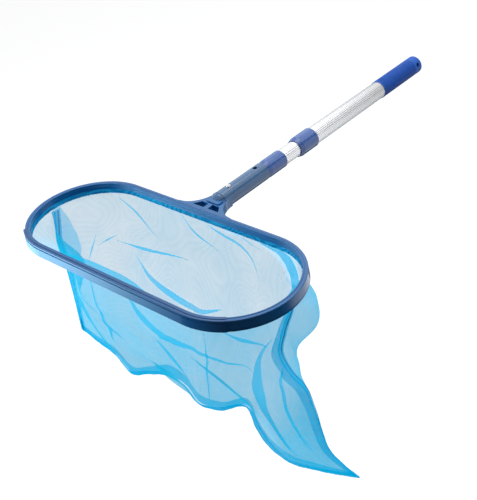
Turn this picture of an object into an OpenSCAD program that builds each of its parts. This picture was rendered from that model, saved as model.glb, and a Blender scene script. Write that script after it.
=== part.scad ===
// Leaf skimmer net on a three-section twist-lock pole.
// The pole axis is the Y axis, and the origin is the middle of the hand grip.
// The net rim lies in a level plane at the -Y end, with its long side along X.

/* [Rim] */
// Length of the net opening, inside the rim
rim_len = 432; // [320:2:520]
// Width of the net opening, inside the rim
rim_wid = 168; // [130:2:220]
// Height of the rim
rim_h = 15; // [13:0.5:20]
// Width of the rim's top face
rim_w = 7.2; // [6.6:0.1:10]
// How far the rim's outer wall leans out at its foot
rim_lean = 1; // [0.4:0.1:2]
// Wall thickness of the rim moulding
rim_skin = 1.8; // [1.4:0.1:2]
// Height of the rim's inner wall, which stops above the hem
rim_inner_h = 9; // [8:0.5:11]
// Height of the rim's top face above the pole axis
rim_rise = 5.5; // [2:0.5:8]

/* [Front lip] */
// Angle that the lip strip runs round each end of the rim
lip_wrap = 36; // [10:1:60]
// Wall thickness of the lip strip
lip_skin = 1.3; // [1:0.1:1.8]

/* [Bracket] */
// Width of the bracket where it leaves the rim
bracket_w = 96; // [80:2:120]
// Distance from the rim's inner edge to the socket's closed end
bracket_len = 38; // [34:1:50]
// Length of the bracket's side curve
bracket_curve = 41.5; // [38:0.5:46]
// Depth of the bracket
bracket_h = 14; // [10:0.5:16]
// Width of the rib between the bracket's two windows
rib_w = 7.6; // [5:0.2:12]
// Length of the windows along the pole
window_len = 10.8; // [8:0.2:12]
// Height of the raised pad on the bracket
pad_h = 1.6; // [0.8:0.1:2.5]

/* [Socket] */
// Outer diameter of the handle socket
socket_d = 27; // [25.5:0.5:31]
// Length of the handle socket
socket_len = 94; // [88:1:120]
// Distance from the socket's mouth to its spare pin holes
pin_inset = 15.5; // [12:0.5:20]
// Distance between the spare pin holes and the spring buttons
pin_pitch = 57.7; // [52:0.1:58]
// Diameter of the pin holes
pin_hole_d = 7; // [6:0.1:8]

/* [Pole] */
// Outer diameter of the outer tube
outer_d = 28; // [27.6:0.1:28.6]
// Outer diameter of the middle tube
mid_d = 24.6; // [24:0.1:25]
// Outer diameter of the inner tube
inner_d = 21.8; // [21:0.1:21.9]
// Wall thickness of the tubes
tube_t = 1.1; // [0.8:0.1:1.2]
// Length of the outer tube that shows between its collar and the grip
outer_show = 181; // [160:1:400]
// Length of the middle tube that shows between the two collars
mid_show = 33; // [5:1:60]
// Length of each collar
collar_len = 41; // [38:1:55]
// Outer diameter of the outer tube's collar
outer_collar_d = 31; // [30.8:0.2:36]
// Outer diameter of the middle tube's collar
mid_collar_d = 27.2; // [27:0.1:30]
// Depth that each tube's mouth sits inside its collar's nose
collar_nose = 14; // [12:0.5:18]

/* [Grip] */
// Outer diameter of the hand grip
grip_d = 29.6; // [29.4:0.2:36]
// Length of the hand grip
grip_len = 112; // [100:1:150]
// Length of the grip's closed end
grip_end = 18; // [14:1:24]
// Spacing of the grip's fine ribs
grip_pitch = 1.6; // [1.2:0.1:3]
// Depth of the grooves between the ribs
groove_d = 0.35; // [0.2:0.05:0.5]
// Diameter of the hanging hole
hang_d = 6.4; // [4:0.2:8]
// Distance from the hanging hole to the grip's end
hang_inset = 11; // [8:0.5:14]
// Turn of the hanging hole about the pole
hang_turn = 25; // [0:1:90]

/* [Locks] */
// Length of the plug pressed into each tube's end
plug_len = 20; // [14:1:24]
// Length of each expander sleeve
expander_len = 22; // [16:1:28]
// Diameter of the lock screws
screw_d = 6; // [5:0.2:7]
// Distance from the middle tube's end to the middle of the grip
mid_back = 40; // [38:1:80]
// Distance from the inner tube's plug end to the middle tube's plug
inner_back = 45; // [40:1:80]

/* [Buttons] */
// Diameter of the spring buttons
button_d = 6.8; // [5.8:0.1:7.8]
// Height that a button stands out of the socket
button_out = 2.2; // [1.5:0.1:3.5]
// Thickness of the steel clip that carries the buttons
clip_t = 0.5; // [0.4:0.05:0.8]
// Width of the steel clip
clip_w = 8; // [6:0.5:10]
// Length of the steel clip
clip_len = 44; // [36:1:48]

/* [Net] */
// Height of the woven hem
hem_h = 7.6; // [6:0.2:10]
// Thickness of the woven hem
hem_t = 4.2; // [3:0.1:4.4]
// Diameter of the cord inside the hem
cord_d = 3; // [2:0.1:3.1]
// Thickness of the net bag's wall
net_t = 1.2; // [0.8:0.1:2]
// Depth of the net bag at its deepest fold
bag_depth = 282; // [240:2:340]
// How far the bag's middle bellies out
bag_belly = 14; // [8:1:20]
// How far the back of the bag bulges out beside its right seam
bag_bulge = 36; // [20:1:44]
// Thickness of the bound edge along the bag's seams
binding_d = 2; // [1.6:0.1:3]

/* [Hidden] */

$fn = 96;
run = 0.06;         // running clearance on a radius
seat = 0.03;        // clearance of a seated piece on a radius
touch = 0.1;        // gap between faces that bear on each other
over = 1;           // how far a cut runs past a face

// rim
rim_b = rim_wid / 2;
rim_c = (rim_len - rim_wid) / 2;
chamfer = 0.5;
bead = 0.4;         // the rib on the rim's inner wall
bead_mid = 4.5;
groove_top = rim_h - 1.9;
groove_in = 0.8;
groove_h = 1;
// bracket
window_wall = 2.8;  // wall between the rim and the windows
pad_gap = 2.7;      // from the windows to the raised pad
spigot_flat = 0.5;  // how far the spigot's flat lies under the bracket's top
// radii of the pole
outer_r = outer_d / 2;
mid_r = mid_d / 2;
inner_r = inner_d / 2;
outer_in = outer_r - tube_t;
mid_in = mid_r - tube_t;
inner_in = inner_r - tube_t;
socket_r = socket_d / 2;
socket_bore = inner_r + seat * 3;
grip_r = grip_d / 2;
screw_r = screw_d / 2;
pin_r = pin_hole_d / 2;
button_r = button_d / 2;
// places along the pole
grip_front = -grip_len / 2;
grip_back = grip_len / 2;
outer_collar_back = grip_front - outer_show;
outer_collar_front = outer_collar_back - collar_len;
mid_collar_back = outer_collar_front - mid_show;
mid_collar_front = mid_collar_back - collar_len;
socket_mouth = mid_collar_front - touch;
socket_back = socket_mouth - socket_len;
rim_edge = socket_back - bracket_len;
rim_y = rim_edge - rim_b;
spare_y = socket_mouth - pin_inset;
button_y = spare_y - pin_pitch;
spigot_len = 6;
outer_tube_front = outer_collar_front + collar_nose;
outer_tube_back = grip_back - grip_end;
mid_tube_front = mid_collar_front + collar_nose;
mid_tube_back = -mid_back;
inner_tube_front = socket_back + spigot_len + touch;
inner_tube_back = mid_tube_back - plug_len - inner_back;
flange = 2;         // thickness of a plug's flange
cone_len = 5;       // length of a lock screw's cone
cone_rim = 0.8;     // straight rim behind the cone
cone_clear = 2.2;   // how far the cone stays off the next tube's wall
slot_w = 1.2;       // width of the slots in an expander
slot_start = 6;     // length of an expander's unslotted front
bush_front = 3;     // depth of the open mouth in a collar's nose
nose_len = 7;       // length of a collar's tapered nose
mouth_r = 0.7;      // radial gap round the tube in a collar's mouth
bung_len = 14;
// hem, below the rim's top face
hem_o = 0.6;
hem_top = rim_inner_h + touch * 4;
hem_foot = hem_top + hem_h;
cord_r = cord_d / 2;
cord_wrap = 0.25;
cord_o = rim_skin + (rim_w - 2 * rim_skin) / 2;
cord_z = rim_skin + cord_r + cord_wrap + touch;
neck_t = 0.7;
// net bag, from the middle of the rim's top face
bag_b = rim_b + hem_o + hem_t / 2;
bag_end = rim_c + bag_b;
bag_top = hem_foot + touch;
bag_quarter = PI / 2 * bag_b;
bag_half = 2 * bag_quarter + 2 * rim_c;
bag_cols = 20;      // columns of facets across each sheet
bag_rows = 12;      // rows of facets down each sheet
bag_foot_t = 3;     // thickness of the closed foot
bag_snap = 0.35;    // how soon the sheets close together at the bag's ends
binding_clear = 0.5;
// The bag's foot, from its left corner to the tip of its tail:
// share of the rim's half length, place from front to back, share of the bag's depth
foot_shares = [
    [-1.02, -10, 0.84], [-0.86, -12, 0.875], [-0.67, -15, 0.91], [-0.55, -15, 0.985],
    [-0.315, -15, 0.9], [-0.1, -15, 0.835], [0.055, -15, 0.85], [0.15, -15, 0.91],
    [0.35, -15, 0.89], [0.6, -15, 0.77], [0.65, -15, 0.875], [0.73, -15, 0.957],
    [0.88, -15, 1], [1.135, -15, 0.957], [1.44, -15, 0.837]
];
// The bag's left and right seams between the rim and the foot, in the same shares
left_shares = [[-1.014, -6, 0.426]];
right_shares = [
    [0.954, -8, 0.205], [0.935, -12, 0.32], [1.01, -14, 0.397], [1.107, -15, 0.44],
    [1.157, -15, 0.532], [1.204, -15, 0.674], [1.24, -15, 0.752], [1.343, -15, 0.805]
];
// Dents and bulges of the bag: sheet (-1 front, 1 back), place and width across the sheet,
// place and height down the sheet, and the way out in x and y
bag_dents = [
    [1, 0.91, 0.075, 0.16, 0.15, bag_bulge, 4], [-1, 0.13, 0.09, 0.16, 0.14, 16, 20],
    [-1, 0.67, 0.07, 0.85, 0.14, 20, 11], [-1, 0.3, 0.12, 0.9, 0.1, 6, 4],
    [1, 0.93, 0.06, 0.6, 0.15, -14, 0]
];
// buttons and clip
button_top = socket_r + button_out;
shoulder_r = button_r + 1.1;
shoulder_top = sqrt(inner_in * inner_in - shoulder_r * shoulder_r) - touch;
shoulder_h = 1;
shoulder_foot = shoulder_top - shoulder_h;
clip_tail = 7;      // how far the clip runs past its buttons

// ---- shared shapes ----

// A solid of revolution about the pole: points are radius and place along the pole
module turned(points) {
    rotate([-90, 0, 0]) rotate_extrude() polygon(points);
}

// A tube along the pole between two places
module pipe(r_out, r_in, y0, y1) {
    turned([[r_in, y0], [r_out, y0], [r_out, y1], [r_in, y1]]);
}

// A rod along the pole between two places
module rod(r, y0, y1) {
    translate([0, y0, 0]) rotate([-90, 0, 0]) cylinder(r = r, h = y1 - y0);
}

// One end of the rim's path: children is a section at radius and height
module end_sweep(side, turn_from, turn) {
    translate([side * rim_c, 0, 0]) rotate([0, 0, turn_from]) rotate_extrude(angle = turn) children();
}

// One straight of the rim's path
module straight_sweep(side) {
    mirror([0, side > 0 ? 0 : 1, 0])
        translate([-rim_c, 0, 0]) rotate([90, 0, 90]) linear_extrude(2 * rim_c) children();
}

// A closed ring round the rim
module ring_sweep() {
    end_sweep(1, -90, 180) children();
    end_sweep(-1, 90, 180) children();
    straight_sweep(1) children();
    straight_sweep(-1) children();
}

module at_rim() {
    translate([0, rim_y, rim_rise]) children();
}

// A section of the rim: points are the distance out from the inner edge and the height
module rim_section(points) {
    translate([rim_b, 0]) polygon(points);
}

// ---- head ----

module rim_ring() {
    ring_sweep() rim_section([
        [0, -chamfer], [chamfer, 0], [2.1, 0], [2.3, -0.6], [2.9, -0.6], [3.1, -0.1],
        [rim_w - chamfer, -0.1], [rim_w, -0.1 - chamfer],
        [rim_w + rim_lean, -groove_top], [rim_w + rim_lean - groove_in, -groove_top],
        [rim_w + rim_lean - groove_in, -groove_top - groove_h],
        [rim_w + rim_lean, -groove_top - groove_h], [rim_w + rim_lean, -rim_h],
        [rim_w + rim_lean - rim_skin, -rim_h], [rim_w - rim_skin, -rim_skin],
        [rim_skin, -rim_skin], [rim_skin, -rim_inner_h], [0, -rim_inner_h],
        [0, -bead_mid - 2 * bead], [-bead, -bead_mid - bead / 2], [-bead, -bead_mid + bead / 2],
        [0, -bead_mid + 2 * bead]
    ]);
}

// Outline of the bracket, seen from above, from the rim's inner edge
module bracket_outline() {
    curve_w = bracket_w / 2 - socket_r;
    arm_len = 11;   // how far the bracket's arms run on beside the socket
    steps = 12;
    side = [for (i = [0:steps]) [
        bracket_w / 2 - curve_w * cos(90 * i / steps),
        bracket_len + arm_len - bracket_curve * sin(90 * i / steps)
    ]];
    left = [for (i = [steps:-1:0]) [-side[i][0], side[i][1]]];
    polygon(concat(side, [[bracket_w / 2, rim_w - 1], [-bracket_w / 2, rim_w - 1]], left));
}

module window(side) {
    near = rim_w + window_wall;
    far = near + window_len;
    edge_near = 24.5;   // distance of the window's outer corners from the bracket's side
    edge_far = 32.7;
    polygon([
        [side * rib_w / 2, near], [side * (bracket_w / 2 - edge_near), near],
        [side * (bracket_w / 2 - edge_far), far], [side * rib_w / 2, far]
    ]);
}

module pad_outline() {
    near = rim_w + window_wall + window_len + pad_gap;
    far = bracket_len - 3;
    r = 3;
    w = 24;         // width of the pad
    translate([-w / 2, near + r]) square([w, far - near - 2 * r]);
    translate([-w / 2 + r, near]) square([w - 2 * r, far - near]);
    for (x = [-w / 2 + r, w / 2 - r], y = [near + r, far - r]) translate([x, y]) circle(r);
}

module rim_frame() {
    color([0.16, 0.38, 0.66]) {
        difference() {
            union() {
                at_rim() rim_ring();
                translate([0, rim_edge, rim_rise - bracket_h]) linear_extrude(bracket_h)
                    difference() {
                        bracket_outline();
                        window(1);
                        window(-1);
                    }
                translate([0, rim_edge, rim_rise]) linear_extrude(pad_h) pad_outline();
            }
            // the seat of the socket, and the way past its round back
            translate([0, socket_back - touch, 0]) rotate([-90, 0, 0])
                cylinder(r = socket_r + touch, h = socket_len);
        }
        // the spigot inside the socket, flat on top
        intersection() {
            rod(socket_bore - seat, socket_back - touch - 0.5, socket_back + spigot_len - touch);
            translate([-socket_r, socket_back - 2 * over, -socket_r])
                cube([socket_d, spigot_len + 4 * over, socket_r + rim_rise - spigot_flat]);
        }
    }
}

// Section of the lip strip: a flange over the rim, an outer wall and a hook into the rim's groove
module lip_section() {
    step = 0.15;    // gap between the lip's wall and the rim's
    dip = 0.8;      // depth of the two grooves along the lip
    brow = 0.6;     // how far the lip's front stands out over its wall
    foot = rim_w + rim_lean + step;
    hook = rim_w + rim_lean - groove_in + touch * 2;
    top = touch + lip_skin;
    edge = rim_w + lip_skin;
    rim_section([
        [0.4, touch], [0.4, top - 0.4], [1, top], [rim_w - 2.2, top],
        [rim_w - 2, top - dip], [rim_w - 1, top - dip], [rim_w - 0.8, top - 0.1],
        [edge + 0.2, top - 0.1], [edge + brow, top - 0.6], [edge + brow, -0.4],
        [edge + brow - dip, -0.6], [edge + brow - dip, -2.8], [edge + brow, -3.1],
        [foot + lip_skin, -rim_h + 0.6], [foot + lip_skin - 0.4, -rim_h], [foot, -rim_h],
        [foot, -groove_top - groove_h + touch * 2], [hook, -groove_top - groove_h + touch * 2],
        [hook, -groove_top - touch * 2], [foot, -groove_top - touch * 2],
        [rim_w + step, -0.6], [rim_w - 0.4, touch]
    ]);
}

// The part of the ring that the lip leaves out, seen from above
module lip_cut() {
    far = 2 * rim_len;
    cut = far * [sin(lip_wrap), -cos(lip_wrap)];
    polygon([
        [rim_c, 0], [rim_c + cut[0], cut[1]], [2 * far, cut[1]], [2 * far, far],
        [-2 * far, far], [-2 * far, cut[1]], [-rim_c - cut[0], cut[1]], [-rim_c, 0]
    ]);
}

module front_lip() {
    color([0.35, 0.52, 0.74]) at_rim() difference() {
        ring_sweep() lip_section();
        translate([0, 0, -2 * rim_h]) linear_extrude(4 * rim_h) lip_cut();
    }
}

module handle_socket() {
    color([0.27, 0.42, 0.60]) difference() {
        turned([
            [socket_bore, socket_back], [socket_r - 0.6, socket_back], [socket_r, socket_back + 0.6],
            [socket_r, socket_mouth - 0.8], [socket_r - 0.8, socket_mouth],
            [socket_bore + 0.6, socket_mouth], [socket_bore, socket_mouth - 0.6]
        ]);
        for (y = [spare_y, button_y])
            translate([0, y, -socket_r - over]) cylinder(r = pin_r, h = socket_d + 2 * over);
    }
}

module hem_cord() {
    color([0.85, 0.9, 0.95]) at_rim() ring_sweep()
        translate([rim_b + cord_o, -cord_z]) circle(cord_r, $fn = 24);
}

module net_hem() {
    color([0.15, 0.55, 0.80]) at_rim() ring_sweep() difference() {
        union() {
            translate([rim_b + cord_o, -cord_z]) circle(cord_r + cord_wrap, $fn = 24);
            translate([rim_b + cord_o - neck_t / 2, -hem_top - 1]) square([neck_t, hem_top + 1 - cord_z]);
            translate([rim_b + hem_o, -hem_foot]) square([hem_t, hem_h]);
        }
        translate([rim_b + cord_o, -cord_z]) circle(cord_r + seat, $fn = 24);
    }
}

// ---- net bag ----

function smooth(x, a, b) = let (t = max(0, min(1, (x - a) / (b - a)))) t * t * (3 - 2 * t);
function bell(x, middle, width) = exp(-pow((x - middle) / width, 2));
function arc_deg(x) = x * 180 / PI;
function unit(v) = v / norm(v);

// Distance along a path to each of its points
function reach(path) = [
    for (i = 0, d = 0; i < len(path); d = d + (i + 1 < len(path) ? norm(path[i + 1] - path[i]) : 0), i = i + 1) d
];
// The point at a share of the length of a path
function along(path, share) =
    let (
        d = reach(path),
        at = share * d[len(d) - 1],
        i = max([for (k = [0:len(path) - 2]) if (d[k] <= at) k])
    )
    path[i] + (path[i + 1] - path[i]) * (at - d[i]) / (d[i + 1] - d[i]);

function edge_points(shares) = [for (p = shares) [p[0] * rim_len / 2, p[1], p[2] * bag_depth]];
bag_foot = edge_points(foot_shares);
left_seam = concat([[-bag_end, 0, bag_top]], edge_points(left_shares), [bag_foot[0]]);
right_seam = concat([[bag_end, 0, bag_top]], edge_points(right_shares), [bag_foot[len(bag_foot) - 1]]);

// The bag's mouth, from its left end to its right end, on the front or the back
function mouth_point(w, side) =
    let (d = w * bag_half, a = arc_deg(d / bag_b), b = arc_deg((bag_half - d) / bag_b))
    a < 90 ? [-rim_c - bag_b * cos(a), side * bag_b * sin(a), bag_top]
        : b < 90 ? [rim_c + bag_b * cos(b), side * bag_b * sin(b), bag_top]
            : [d - bag_quarter - rim_c, side * bag_b, bag_top];

// A point part of the way down from the mouth to the foot
function between(top, foot, sideways, down) =
    let (p = top + (foot - top) * sideways) [p[0], p[1], top[2] + (foot[2] - top[2]) * down];

function dent(w, t, side) =
    let (inside = smooth(t, 0, 0.06) * (1 - smooth(t, 0.94, 1)) * smooth(min(w, 1 - w), 0, 0.05))
    [for (d = bag_dents) if (d[0] == side) inside * bell(w, d[1], d[2]) * bell(t, d[3], d[4]) * [d[5], d[6], 0]];

function total(v, i = 0) = i < len(v) ? v[i] + total(v, i + 1) : [0, 0, 0];

// A point of the bag: w runs across it, t runs down it, side is -1 in front and 1 at the back
function bag_point(w, t, side) =
    let (
        near_left = 1 - smooth(w, 0, 0.35),
        near_right = smooth(w, 0.6, 1),
        closing = near_left + (side < 0 ? near_right : 0),
        s = pow(t, 1 - (1 - bag_snap) * closing),
        foot = along(bag_foot, w) + [0, side * bag_foot_t / 2 * sin(180 * w), 0],
        left = along(left_seam, t) - between(left_seam[0], bag_foot[0], s, t),
        right = along(right_seam, t) - between(right_seam[0], bag_foot[len(bag_foot) - 1], s, t),
        belly = [0, side * bag_belly * sin(180 * t) * sqrt(max(0, sin(180 * w))), 0],
        p = between(mouth_point(w, side), foot, s, t) + near_left * left + near_right * right
            + belly + total(dent(w, t, side))
    )
    [p[0], p[1], -p[2]];

// The same points by column and row: columns run round the bag, front first
bag_around = 2 * bag_cols;
function column_side(k) = k % bag_around <= bag_cols ? -1 : 1;
function column_share(k) = (k % bag_around <= bag_cols ? k % bag_around : bag_around - k % bag_around) / bag_cols;
function grid_point(k, t) = bag_point(column_share(k), t, column_side(k));

// The level way into the bag at a point, square to the line between its neighbours
function inward(k, t) =
    let (d = grid_point(k + 1, t) - grid_point(k + bag_around - 1, t)) unit([-d[1], d[0], 0]);

// A point of the bag's hollow: never more than a quarter of the way to the sheet across
function hollow_point(k, t) =
    let (p = grid_point(k, t), across = norm(grid_point(bag_around - k, t) - p))
    p + inward(k, t) * (across < 0.001 ? net_t : min(net_t, across / 4));

module net_bag() {
    n = bag_around;
    outer = [for (i = [0:bag_rows], k = [0:n - 1]) grid_point(k, i / bag_rows)];
    inner = [for (i = [0:bag_rows], k = [0:n - 1]) hollow_point(k, min(i, bag_rows - 0.5) / bag_rows)];
    base = n * (bag_rows + 1);
    walls = [
        for (i = [0:bag_rows - 1], k = [0:n - 1])
            let (a = i * n + k, b = i * n + (k + 1) % n)
                each [[a, b, b + n], [a, b + n, a + n],
                      [base + a, base + b + n, base + b], [base + a, base + a + n, base + b + n]]
    ];
    mouth = [
        for (a = [0:n - 1])
            let (b = (a + 1) % n) each [[a, base + b, b], [a, base + a, base + b]]
    ];
    // the foot of the outside and of the hollow: strips from the front columns to the back ones
    foot = bag_rows * n;
    strips = [
        for (k = [0:bag_cols - 1])
            let (
                a = foot + k, b = a + 1, c = foot + (n - k - 1) % n, d = foot + (n - k) % n,
                tris = k == 0 ? [[a, b, c]] : k == bag_cols - 1 ? [[a, b, d]] : [[a, b, c], [a, c, d]]
            )
                each concat(tris, [for (t = tris) [base + t[0], base + t[2], base + t[1]]])
    ];
    color([0.45, 0.80, 0.94]) at_rim()
        polyhedron(points = concat(outer, inner), faces = concat(walls, mouth, strips));
}

// The bound edge of the bag: down its left seam, along its foot and up its right seam
binding_off = binding_d / 2 + binding_clear;
binding_start = 0.06;   // share of a row that the binding starts below the mouth
function row_point(k, i) = grid_point(k, i / bag_rows);
function foot_point(i) = let (p = along(bag_foot, i / bag_cols)) [p[0], p[1], -p[2]];
// Way out of the bag at a seam, square to the seam
function seam_out(k, i) =
    let (
        d = unit(row_point(k, i + 1) - row_point(k, max(0, i - 1))),
        v = inward(k, i / bag_rows)
    )
    -unit(v - d * (d * v));
function seam_route(k) = [
    for (i = [0:bag_rows - 1])
        let (
            start = row_point(k, 0) * (1 - binding_start) + row_point(k, 1) * binding_start,
            p = i > 0 ? row_point(k, i) : start
        )
            p + seam_out(k, i) * binding_off
];
function left_turn(v) = unit([v[2], 0, -v[0]]);
// A corner of the route, kept at the same distance from both of its edges
function corner(before, p, after) =
    let (n = left_turn(p - before), m = unit(n + left_turn(after - p))) p + m * binding_off / (m * n);
foot_route = [
    for (i = [0:bag_cols])
        corner(
            i == 0 ? row_point(0, bag_rows - 1) : foot_point(i - 1),
            foot_point(i),
            i == bag_cols ? row_point(bag_cols, bag_rows - 1) : foot_point(i + 1)
        )
];

module seam_binding() {
    r = binding_d / 2;
    sides = 6;
    right = seam_route(bag_cols);
    route = concat(seam_route(0), foot_route, [for (i = [bag_rows - 1:-1:0]) right[i]]);
    last = len(route) - 1;
    rings = [
        for (i = [0:last])
            let (
                d = unit(route[min(last, i + 1)] - route[max(0, i - 1)]),
                u = unit(cross(d, [0, 1, 0])),
                v = cross(u, d)
            )
            for (k = [0:sides - 1]) route[i] + r * (cos(360 * k / sides) * u + sin(360 * k / sides) * v)
    ];
    skin = [
        for (i = [0:last - 1], k = [0:sides - 1])
            let (a = i * sides + k, b = i * sides + (k + 1) % sides)
                each [[a, b + sides, b], [a, a + sides, b + sides]]
    ];
    caps = [
        for (k = [1:sides - 2])
            each [[0, k, k + 1], [last * sides, last * sides + k + 1, last * sides + k]]
    ];
    color([0.10, 0.60, 0.85]) at_rim() polyhedron(points = rings, faces = concat(skin, caps));
}

// ---- pole ----

module tube(r, y0, y1) {
    pipe(r, r - tube_t, y0, y1);
}

module inner_tube() {
    color([0.80, 0.81, 0.82]) difference() {
        tube(inner_r, inner_tube_front, inner_tube_back);
        for (y = [spare_y, button_y])
            translate([0, y, -inner_r - over])
                cylinder(r = pin_r + (y == spare_y ? touch : 0), h = inner_d + 2 * over);
    }
}

module mid_tube() {
    color([0.84, 0.85, 0.86]) tube(mid_r, mid_tube_front, mid_tube_back);
}

module outer_tube() {
    color([0.80, 0.81, 0.82]) tube(outer_r, outer_tube_front, outer_tube_back);
}

// A collar on the mouth of a tube: its nose faces the next, thinner tube
module collar(r, tube_r, next_r, front) {
    nose_r = next_r + mouth_r + 0.6;
    turned([
        [next_r + mouth_r, front], [nose_r, front], [r, front + nose_len],
        [r, front + collar_len - 0.6], [r - 0.6, front + collar_len],
        [tube_r + seat, front + collar_len], [tube_r + seat, front + bush_front],
        [next_r + mouth_r, front + bush_front]
    ]);
}

module outer_collar() {
    color([0.20, 0.36, 0.66]) collar(outer_collar_d / 2, outer_r, mid_r, outer_collar_front);
}

module mid_collar() {
    color([0.20, 0.36, 0.66]) collar(mid_collar_d / 2, mid_r, inner_r, mid_collar_front);
}

// The guide bush trapped between a tube's mouth and its collar's nose
module guide_bush(tube_r, next_r, front) {
    pipe(tube_r - seat, next_r + run, front + bush_front + touch, front + collar_nose - touch);
}

module outer_guide_bush() {
    color("white") guide_bush(outer_r, mid_r, outer_collar_front);
}

module mid_guide_bush() {
    color("white") guide_bush(mid_r, inner_r, mid_collar_front);
}

// The plug pressed into the back end of a tube
module end_plug(tube_r, back) {
    turned([
        [screw_r + seat, back - plug_len], [tube_r - tube_t - seat - 0.5, back - plug_len],
        [tube_r - tube_t - seat, back - plug_len + 0.5], [tube_r - tube_t - seat, back + touch / 2],
        [tube_r - touch, back + touch / 2], [tube_r - touch, back + flange], [screw_r + seat, back + flange]
    ]);
}

// The screw of a twist lock: a rod held in the plug, with a cone at its back end
module lock_screw(cone_r, back) {
    tip = back + flange + expander_len + 2;
    turned([
        [0, back - plug_len + 2], [screw_r, back - plug_len + 2], [screw_r, tip - cone_len],
        [cone_r, tip - cone_rim], [cone_r, tip], [0, tip]
    ]);
}

// The split sleeve that the cone spreads against the wall of the next tube
module expander(bore_r, cone_r, back) {
    front = back + flange + touch * 2;
    rear = back + flange + expander_len - cone_len + 2;
    wall_r = bore_r - run;
    difference() {
        turned([
            [screw_r + run, front], [wall_r - 0.8, front], [wall_r, front + 0.8], [wall_r, rear + 2],
            [wall_r - 0.4, rear + 2.4], [cone_r - 1.6, rear + 2.4], [screw_r + run, rear - 0.6]
        ]);
        for (turn = [0, 60, 120])
            rotate([0, turn, 0]) translate([-bore_r, front + slot_start, -slot_w / 2])
                cube([2 * bore_r, expander_len, slot_w]);
    }
}

module mid_plug() {
    color([0.15, 0.17, 0.20]) end_plug(mid_r, mid_tube_back);
}

module mid_lock_screw() {
    color("silver") lock_screw(outer_in - cone_clear, mid_tube_back);
}

module mid_expander() {
    color("white") expander(outer_in, outer_in - cone_clear, mid_tube_back);
}

module inner_plug() {
    color([0.15, 0.17, 0.20]) end_plug(inner_r, inner_tube_back);
}

module inner_lock_screw() {
    color("silver") lock_screw(mid_in - cone_clear, inner_tube_back);
}

module inner_expander() {
    color("white") expander(mid_in, mid_in - cone_clear, inner_tube_back);
}

// ---- grip ----

module grip() {
    first = grip_front + 2.4;   // the plain band before the first groove
    last = outer_tube_back;
    count = floor((last - first) / grip_pitch);
    ribs = [
        for (i = [0:count - 1])
            let (y = first + i * grip_pitch)
                each [[grip_r, y], [grip_r - groove_d, y + 0.2], [grip_r - groove_d, y + 0.6], [grip_r, y + 0.8]]
    ];
    color([0.18, 0.36, 0.65]) difference() {
        turned(concat(
            [[outer_r + seat, grip_front], [grip_r - 0.4, grip_front], [grip_r, grip_front + 0.4]],
            ribs,
            [[grip_r, grip_back - 1.2], [grip_r - 1.2, grip_back], [0, grip_back],
             [0, outer_tube_back + touch / 2], [outer_r + seat, outer_tube_back + touch / 2]]
        ));
        translate([0, grip_back - hang_inset, 0]) rotate([0, 90 - hang_turn, 0])
            cylinder(d = hang_d, h = 2 * grip_d, center = true);
    }
}

module tube_bung() {
    color([0.15, 0.17, 0.20]) turned([
        [0, outer_tube_back - bung_len], [outer_in - 0.6, outer_tube_back - bung_len],
        [outer_in - seat, outer_tube_back - bung_len + 0.6], [outer_in - seat, outer_tube_back],
        [0, outer_tube_back]
    ]);
}

// ---- spring buttons ----

module spring_button(side) {
    dome = 1.2;
    translate([0, button_y, 0]) mirror([0, 0, side > 0 ? 0 : 1]) rotate_extrude() polygon([
        [0, shoulder_foot], [shoulder_r, shoulder_foot], [shoulder_r, shoulder_top],
        [button_r, shoulder_top], [button_r, button_top - dome], [button_r - 0.4, button_top - 0.5],
        [button_r - 1.4, button_top], [0, button_top]
    ]);
}

module button_upper() {
    color("white") spring_button(1);
}

module button_lower() {
    color("white") spring_button(-1);
}

// The bent steel strip that pushes both buttons out
module spring_clip() {
    fork = button_y + shoulder_r;           // where the legs turn parallel to the pole
    open = shoulder_foot - touch - clip_t;  // height of a leg's inner face under its button
    apex = button_y + clip_len - clip_tail;
    color("silver") translate([-clip_w / 2, 0, 0]) rotate([90, 0, 90]) linear_extrude(clip_w) polygon([
        [button_y - clip_tail, open], [fork, open], [apex - 1, 0.8], [apex - 1, -0.8], [fork, -open],
        [button_y - clip_tail, -open], [button_y - clip_tail, -open - clip_t],
        [fork, -open - clip_t], [apex, -1.2], [apex, 1.2], [fork, open + clip_t],
        [button_y - clip_tail, open + clip_t]
    ]);
}

rim_frame();
front_lip();
handle_socket();
net_hem();
hem_cord();
net_bag();
seam_binding();
inner_tube();
inner_plug();
inner_lock_screw();
inner_expander();
spring_clip();
button_upper();
button_lower();
mid_tube();
mid_collar();
mid_guide_bush();
mid_plug();
mid_lock_screw();
mid_expander();
outer_tube();
outer_collar();
outer_guide_bush();
grip();
tube_bung();
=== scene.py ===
import math

import bpy
import numpy as np
from mathutils import Matrix, Vector


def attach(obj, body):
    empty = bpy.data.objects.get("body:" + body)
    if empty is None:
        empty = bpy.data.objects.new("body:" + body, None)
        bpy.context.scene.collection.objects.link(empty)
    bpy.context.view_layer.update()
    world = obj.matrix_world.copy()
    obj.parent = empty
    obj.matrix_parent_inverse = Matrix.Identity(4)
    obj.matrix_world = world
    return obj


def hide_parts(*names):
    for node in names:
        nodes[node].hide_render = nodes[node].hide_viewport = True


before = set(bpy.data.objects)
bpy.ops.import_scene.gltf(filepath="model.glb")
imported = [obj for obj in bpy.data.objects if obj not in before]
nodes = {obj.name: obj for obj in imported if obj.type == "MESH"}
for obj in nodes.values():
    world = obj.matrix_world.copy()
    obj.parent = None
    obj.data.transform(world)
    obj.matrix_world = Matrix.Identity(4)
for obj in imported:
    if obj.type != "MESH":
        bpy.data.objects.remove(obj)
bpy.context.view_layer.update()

scene = bpy.context.scene
rimAt = np.array([0.0, -0.5681, 0.0055])  # middle of the rim's top face, in metres


# Camera, lights, world and floor

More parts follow.
